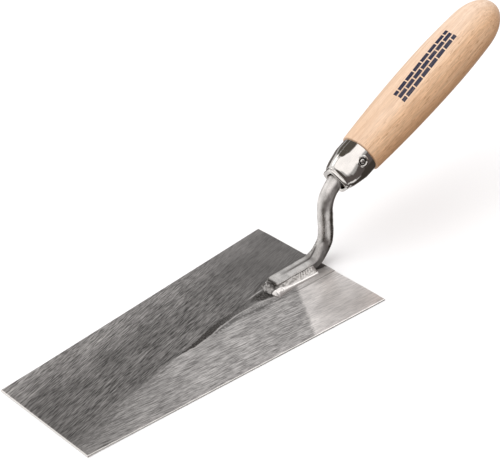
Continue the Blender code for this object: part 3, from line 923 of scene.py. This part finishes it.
def toe_weld(material):
    """A lobed mound over the foot's toe, rough on its left and smooth on its right."""
    centre = np.array(TOE_WELD_CENTRE)
    sides, steps = 90, 22
    rings = []
    for step in range(steps, 0, -1):
        reach = math.sin(math.pi / 2 * step / steps)
        row = []
        for angle in ring_angles(sides)[::-1]:
            c, s = math.cos(angle), math.sin(angle)
            forward = TOE_WELD_AHEAD if c > 0 else TOE_WELD_BEHIND
            sideways = TOE_WELD_RIGHT if s > 0 else TOE_WELD_LEFT
            outline = 1 / math.hypot(c / forward, s / sideways)
            rough = smooth_step(4.0, -1.0, centre[1] + outline * s)
            outline += LOBE_DEPTH * math.cos(LOBES * angle + 0.6) * rough + lumps((c * 3, s * 3, 2), 1.0, 0.8)
            x, y = centre + reach * outline * np.array([c, s])
            height = TOE_WELD_HEIGHT - TOE_WELD_SIDE_DROP * smooth_step(2.0, 7.0, abs(y))
            height -= TOE_WELD_RIGHT_DROP * smooth_step(1.0, 5.0, y)
            z = height * (1 - reach ** 2.4) ** 0.75 + 0.15 * (1 - reach)
            z += (lumps((x, y, 9), 1.7, 2.2) + lumps((x, y, 3), 0.9, 0.9)) * rough * math.sqrt(1 - reach ** 4)
            row.append((x, y, FOOT_BASE_Z - WELD_SUNK + max(0.0, z)))
        rings.append(row)
    bottom = [(x, y, FOOT_BASE_Z - 2 * WELD_SUNK) for x, y, _ in rings[0]]
    points, faces = skin([bottom] + rings)
    piece = add_piece("weld_toe", points, faces, on_blade(), 70.0)
    finish_piece(piece, "weld_bead_toe", material)


def weld_material():
    """Grainy weld metal: a painted highlight on the ridge, darker at the rear, dark and blobbed round the
    toe.
    """
    graph = Graph("weld_metal", (0.7, 0.68, 0.66), 0.6, 0.3)
    grain = graph.noise((1.6, 1.0, 1.0))
    ridge = graph.attribute("ridge")
    blobs = graph.times(graph.remap(graph.spots(2.6), 0.34, 0.6), graph.remap(graph.x, *BLOBS_START))
    colour = graph.blend(graph.remap(grain, 0.3, 0.6), WELD_GREY, WELD_PALE)
    colour = graph.blend(blobs, colour, WELD_BLACK)
    # darker toward the welds' rear end
    colour = graph.blend(graph.remap(graph.x, *WELD_REAR_DARK_FADES, 0.85, 0.0), colour, WELD_REAR_DARK)
    colour = graph.blend(graph.remap(graph.x, *TOE_SHADE_START, 0.0, 0.45), colour, TOE_SHADE)
    # a painted highlight along the ridge
    graph.set("Base Color", graph.blend(ridge, colour, RIDGE_PAINTED_HIGHLIGHT))
    graph.set("Roughness", graph.mix(ridge, graph.remap(grain, 0.3, 0.7, 0.42, 0.26), 0.2))
    graph.bump(graph.times(grain, graph.remap(ridge, 0.0, 1.0, 1.0, 0.15)), 0.35, 0.12)
    return graph.material


def make_welds():
    material = weld_material()
    side_weld("weld_right", "weld_bead_right", RIGHT_WELD, 1, material)
    side_weld("weld_left", "weld_bead_left", LEFT_WELD, -1, material)
    toe_weld(material)


# Ferrule --------------------------------------------------

# along the axis, half the distance across flats, squareness
SNOUT = (
    (18.1, 7.75, 4.0), (18.6, 7.85, 3.9), (19.2, 8.35, 3.7), (19.8, 8.8, 3.5), (21.0, 9.35, 3.3),
    (23.0, 10.0, 3.1), (25.0, 10.5, 2.9), (27.0, 10.95, 2.7), (29.0, 11.4, 2.35), (31.0, 11.8, 2.1),
    (32.0, 11.9, 2.0), (40.0, 11.9, 2.0),
)
MOUTH_OFFSET = np.array([-0.25, 0.45, 0.0])
INNER_LIP = 1.2  # from the lip's middle to the end of its inner side
END_ROUND = 0.4
RIM_RADIUS = 2.8
RIM_WIDTH = 0.42
RIM_HEIGHT = 0.45
DIMPLE_DEPTH = 0.9
DIMPLE_SIDE = (1.2, 2.6)
GROOVE_EDGE = (2.5, 2.1)
PLATE = (0.86, 0.84, 0.82)
# the painted shade in the groove round the pin
GROOVE_PAINTED_SHADE = (0.06, 0.052, 0.046, 1)


def squared_ring(half_flat, squareness, along, angles):
    """A ring with four rounded flats, or a circle where the squareness is 2."""
    c, s = np.abs(np.cos(angles - math.pi / 4)), np.abs(np.sin(angles - math.pi / 4))
    return ring(half_flat / (c ** squareness + s ** squareness) ** (1 / squareness), along, angles)


def snout_ring(along, angles, inward=0.0):
    """A ring on the ferrule's outside, or this far inward from it."""
    places, half_flats, squarenesses = np.array(SNOUT).T
    half_flat = np.interp(along, places, half_flats) - inward
    return squared_ring(half_flat, np.interp(along, places, squarenesses), along, angles)


def from_pin(points):
    """Distance from the pin's middle over the ferrule's surface."""
    radius = np.hypot(points[:, 0], points[:, 1])
    around = (np.arctan2(points[:, 1], points[:, 0]) - PIN_ANGLE) * radius
    return np.hypot(around, points[:, 2] - PIN_ALONG)


def punched(points):
    """The points pushed in round the pin, with a raised rim."""
    distance = from_pin(points)
    rim = RIM_HEIGHT * np.exp(-((distance - RIM_RADIUS) / RIM_WIDTH) ** 2)
    bowl = -DIMPLE_DEPTH * (1 - smooth_step(*DIMPLE_SIDE, distance))
    scale = 1 + (rim + bowl) / np.hypot(points[:, 0], points[:, 1])
    return np.column_stack([points[:, 0] * scale, points[:, 1] * scale, points[:, 2]])


def ferrule_angles():
    """Angles round the ferrule, closer together by the pin."""
    coarse = np.radians(np.arange(-180.0, 180.0, 3.0))
    away = np.abs(coarse - PIN_ANGLE) > math.radians(22.0)
    fine = PIN_ANGLE + np.radians(np.arange(-21.0, 22.0, 1.2))
    return np.sort(np.concatenate([coarse[away], fine]))


def make_ferrule():
    """A closed skin: over the lip, along the outside, round the rear end and back along the inside."""
    angles = ferrule_angles()
    lip_start = FERRULE_MOUTH + LIP_LENGTH / 2
    lip_depth = SNOUT_HALF_FLAT - MOUTH_HALF_FLAT
    rings = [squared_ring(MOUTH_HALF_FLAT, LIP_SQUARENESS, lip_start + INNER_LIP, angles) + MOUTH_OFFSET]
    for angle in np.linspace(-0.5 * math.pi, 0.8 * math.pi, 20):
        outward = 0.5 + 0.5 * math.sin(angle)
        along = lip_start - LIP_LENGTH / 2 * math.cos(angle)
        lip = squared_ring(MOUTH_HALF_FLAT + lip_depth * outward, LIP_SQUARENESS, along, angles)
        rings.append(lip + MOUTH_OFFSET * (1 - outward))
    for along in np.concatenate([np.linspace(18.3, 29.0, 30), np.arange(29.3, 37.3, 0.3), [37.8, 38.3]]):
        rings.append(punched(snout_ring(along, angles)))
    for turn in np.linspace(0, math.pi, 7):
        out = FERRULE_RADIUS - FERRULE_WALL / 2 + FERRULE_WALL / 2 * math.cos(turn) + 0.1 * math.sin(turn)
        rings.append(ring(out, FERRULE_END - END_ROUND + END_ROUND * math.sin(turn), angles))
    for along in (36.0, 31.0, 25.0, 20.0):
        rings.append(snout_ring(along, angles, FERRULE_WALL))
    points, faces = skin(rings, closed=True)
    ferrule = add_piece("ferrule_shell", points, faces, on_axis(), 60.0)
    # where the painted shade in the groove round the pin goes
    point_attribute(ferrule, "groove", smooth_step(*GROOVE_EDGE, from_pin(points)))
    finish_piece(ferrule, "ferrule", plate_material())


def plate_material():
    """Bright plating with faint clouds and scratches, and painted shade in the groove round the pin."""
    graph = Graph("nickel_plate", PLATE, 1.0, 0.09)
    cloud = graph.noise((4.0, 4.0, 6.0))
    scratch = graph.noise((0.25, 0.25, 5.0), 2.0)
    plate = graph.tone((*PLATE, 1), graph.remap(cloud, 0.3, 0.7, 0.92, 1.04))
    graph.set("Base Color", graph.blend(graph.attribute("groove"), plate, GROOVE_PAINTED_SHADE))
    graph.set("Roughness", graph.remap(graph.plus(cloud, scratch), 0.8, 1.3, 0.06, 0.15))
    graph.bump(graph.plus(cloud, graph.times(scratch, 0.2)), 0.15, 0.12)
    return graph.material


def make_pin():
    """A shank in the ferrule with a domed head, sunk in the punched dimple."""
    outward = Vector((math.cos(PIN_ANGLE), math.sin(PIN_ANGLE), 0))
    place = Matrix.Translation((outward * FERRULE_RADIUS + Vector((0, 0, PIN_ALONG))) * MM)
    place = on_axis() @ place @ outward.to_track_quat("Z", "Y").to_matrix().to_4x4()
    # radius and height over the ferrule's surface, from the shank to the domed head
    profile = [(0.9, -4.0), (0.9, -0.6), (1.5, -0.55)]
    profile += [(1.55 * math.cos(a), -0.4 + 0.55 * math.sin(a)) for a in np.linspace(0.0, 1.5, 10)]
    angles = ring_angles(40)
    points, faces = skin([ring(radius, height, angles) for radius, height in profile])
    pin = add_piece("pin_head", points, faces, place, 50.0)
    finish_piece(pin, "ferrule_pin", rod_material("pin_steel", PIN_STEEL))


# Handle ---------------------------------------------------

SPIGOT_START = 33.0
SPIGOT_RADIUS = 10.5
SPIGOT_ROOT_RADIUS = 10.8
SHOULDER_ROUND = 0.7
PRINT_ANGLE = math.radians(22.0)
PRINT_START = 75.0
PRINT_LENGTH = 52.5
PRINT_HEIGHT = 9.6
PRINT_SLANT = 0.06
BRICK_LENGTH = 7.5
BRICK_HEIGHT = 3.2
MORTAR = 0.4
BEECH_PALE = (0.85, 0.64, 0.48, 1)
BEECH_WARM = (0.76, 0.53, 0.36, 1)
GRAIN_BROWN = (0.63, 0.40, 0.255, 1)
FLECK_BROWN = (0.45, 0.26, 0.15, 1)
# the side with more flecks, which also gets a tint of painted shade
FLECKED_AND_SHADED_SIDE = (4.0, 12.0)
SHADED_SIDE_PAINTED_TINT = (1.12, 1.035, 0.915, 1)
INK = (0.012, 0.016, 0.045, 1)


def handle_radius(along):
    """Two curves that meet at the belly, the second one rounded off by the dome."""
    if along < BELLY:
        t = (BELLY - along) / (BELLY - SHOULDER)
        return BELLY_RADIUS - (BELLY_RADIUS - SHOULDER_RADIUS) * t * t
    t = (along - BELLY) / (DOME_START - BELLY)
    radius = BELLY_RADIUS - (BELLY_RADIUS - DOME_START_RADIUS) * t * t
    if along > DOME_START:
        dome = (along - DOME_START) / (HANDLE_END - DOME_START)
        radius *= (1 - dome ** DOME_POWER) ** (1 / DOME_POWER)
    return radius


def make_handle():
    """A turned handle, from the end of its spigot in the ferrule to the last ring on its dome."""
    angles = ring_angles(112)
    rings = [ring(SPIGOT_RADIUS, SPIGOT_START, angles), ring(SPIGOT_ROOT_RADIUS, SHOULDER, angles)]
    for turn in np.linspace(0, math.pi / 2, 6):
        out = handle_radius(SHOULDER + SHOULDER_ROUND) - SHOULDER_ROUND * (1 - math.sin(turn))
        rings.append(ring(out, SHOULDER + SHOULDER_ROUND * (1 - math.cos(turn)), angles))
    for along in np.linspace(SHOULDER + 2.0, DOME_START, 70):
        rings.append(ring(handle_radius(along), along, angles))
    for turn in np.linspace(0, math.pi / 2, 30)[1:-1]:
        along = DOME_START + (HANDLE_END - DOME_START) * math.sin(turn)
        rings.append(ring(handle_radius(along), along, angles))
    points, faces = skin(rings)
    handle = add_piece("handle_wood", points, faces, on_axis(), 50.0)
    around = np.arctan2(points[:, 1], points[:, 0])
    point_attribute(handle, "print_across", (around - PRINT_ANGLE) * BELLY_RADIUS)
    finish_piece(handle, "handle", wood_material())


def brick_print(graph):
    """Where the ink is: a wall of bricks, slanting a little as it runs up the handle."""
    along = graph.minus(graph.z, PRINT_START)
    slanted = graph.plus(graph.attribute("print_across"), graph.times(along, PRINT_SLANT))
    across = graph.plus(slanted, PRINT_HEIGHT / 2)
    wall = graph.add("CombineXYZ", {0: along, 1: across}).outputs[0]
    mortar = graph.add("TexBrick", {
        "Vector": wall, "Scale": 1.0, "Mortar Size": MORTAR, "Mortar Smooth": 0.0, "Bias": 0.0,
        "Brick Width": BRICK_LENGTH, "Row Height": BRICK_HEIGHT,
    }).outputs["Fac"]
    inside = graph.times(graph.window(along, PRINT_LENGTH), graph.window(across, PRINT_HEIGHT))
    return graph.times(inside, graph.minus(1.0, mortar))


def wood_material():
    """Pale beech along Z, with fine grain, a side with more flecks and a warmer tint of painted shade, and a
    navy brick-bond print.
    """
    graph = Graph("beech", (0.8, 0.58, 0.38), 0.0, 0.42)
    grain = graph.noise((1.6, 1.6, 46.0), 4.0, 0.6, 0.3)
    fibre = graph.noise((0.45, 0.45, 9.0), 2.0, 0.6)
    broad = graph.noise((9.0, 9.0, 90.0), 3.0, 0.5, 0.4)
    flecks = graph.remap(graph.noise((0.6, 0.6, 4.0), 1.0, 0.5), 0.62, 0.72)
    flecked_and_shaded_side = graph.remap(graph.y, *FLECKED_AND_SHADED_SIDE)
    calm, coarse = graph.remap(fibre, 0.3, 0.7, 0.9, 1.06), graph.remap(fibre, 0.3, 0.7, 0.78, 1.12)
    colour = graph.blend(graph.remap(broad, 0.35, 0.65), BEECH_PALE, BEECH_WARM)
    colour = graph.blend(graph.remap(grain, 0.42, 0.68, 0.0, 0.6), colour, GRAIN_BROWN)
    colour = graph.tone(colour, graph.mix(flecked_and_shaded_side, calm, coarse))
    fleck_strength = graph.times(flecks, graph.remap(flecked_and_shaded_side, 0.0, 1.0, 0.3, 0.7))
    colour = graph.blend(fleck_strength, colour, FLECK_BROWN)
    # painted shade: a warmer tint on the handle's shaded side
    colour = graph.tint(flecked_and_shaded_side, colour, SHADED_SIDE_PAINTED_TINT)
    worn = graph.remap(fibre, 0.3, 0.5, 0.88, 1.0)
    graph.set("Base Color", graph.blend(graph.times(brick_print(graph), worn), colour, INK))
    graph.set("Roughness", graph.remap(grain, 0.3, 0.7, 0.38, 0.5))
    graph.bump(graph.minus(graph.plus(grain, graph.times(fibre, 0.6)), flecks), 0.12, 0.15)
    graph.set("Coat Weight", 0.12)
    graph.set("Coat Roughness", 0.3)
    return graph.material


# Main -----------------------------------------------------

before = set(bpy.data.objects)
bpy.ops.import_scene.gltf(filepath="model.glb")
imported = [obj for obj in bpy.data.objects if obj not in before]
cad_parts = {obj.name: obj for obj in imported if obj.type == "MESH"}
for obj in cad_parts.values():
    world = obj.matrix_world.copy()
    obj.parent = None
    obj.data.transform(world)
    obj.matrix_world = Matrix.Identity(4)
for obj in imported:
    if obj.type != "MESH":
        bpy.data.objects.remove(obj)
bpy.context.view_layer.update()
bpy.context.scene.view_settings.view_transform = "Standard"
make_camera()
make_world()
make_lights()
make_floor()
make_blade()
make_neck()
make_welds()
make_ferrule()
make_pin()
make_handle()
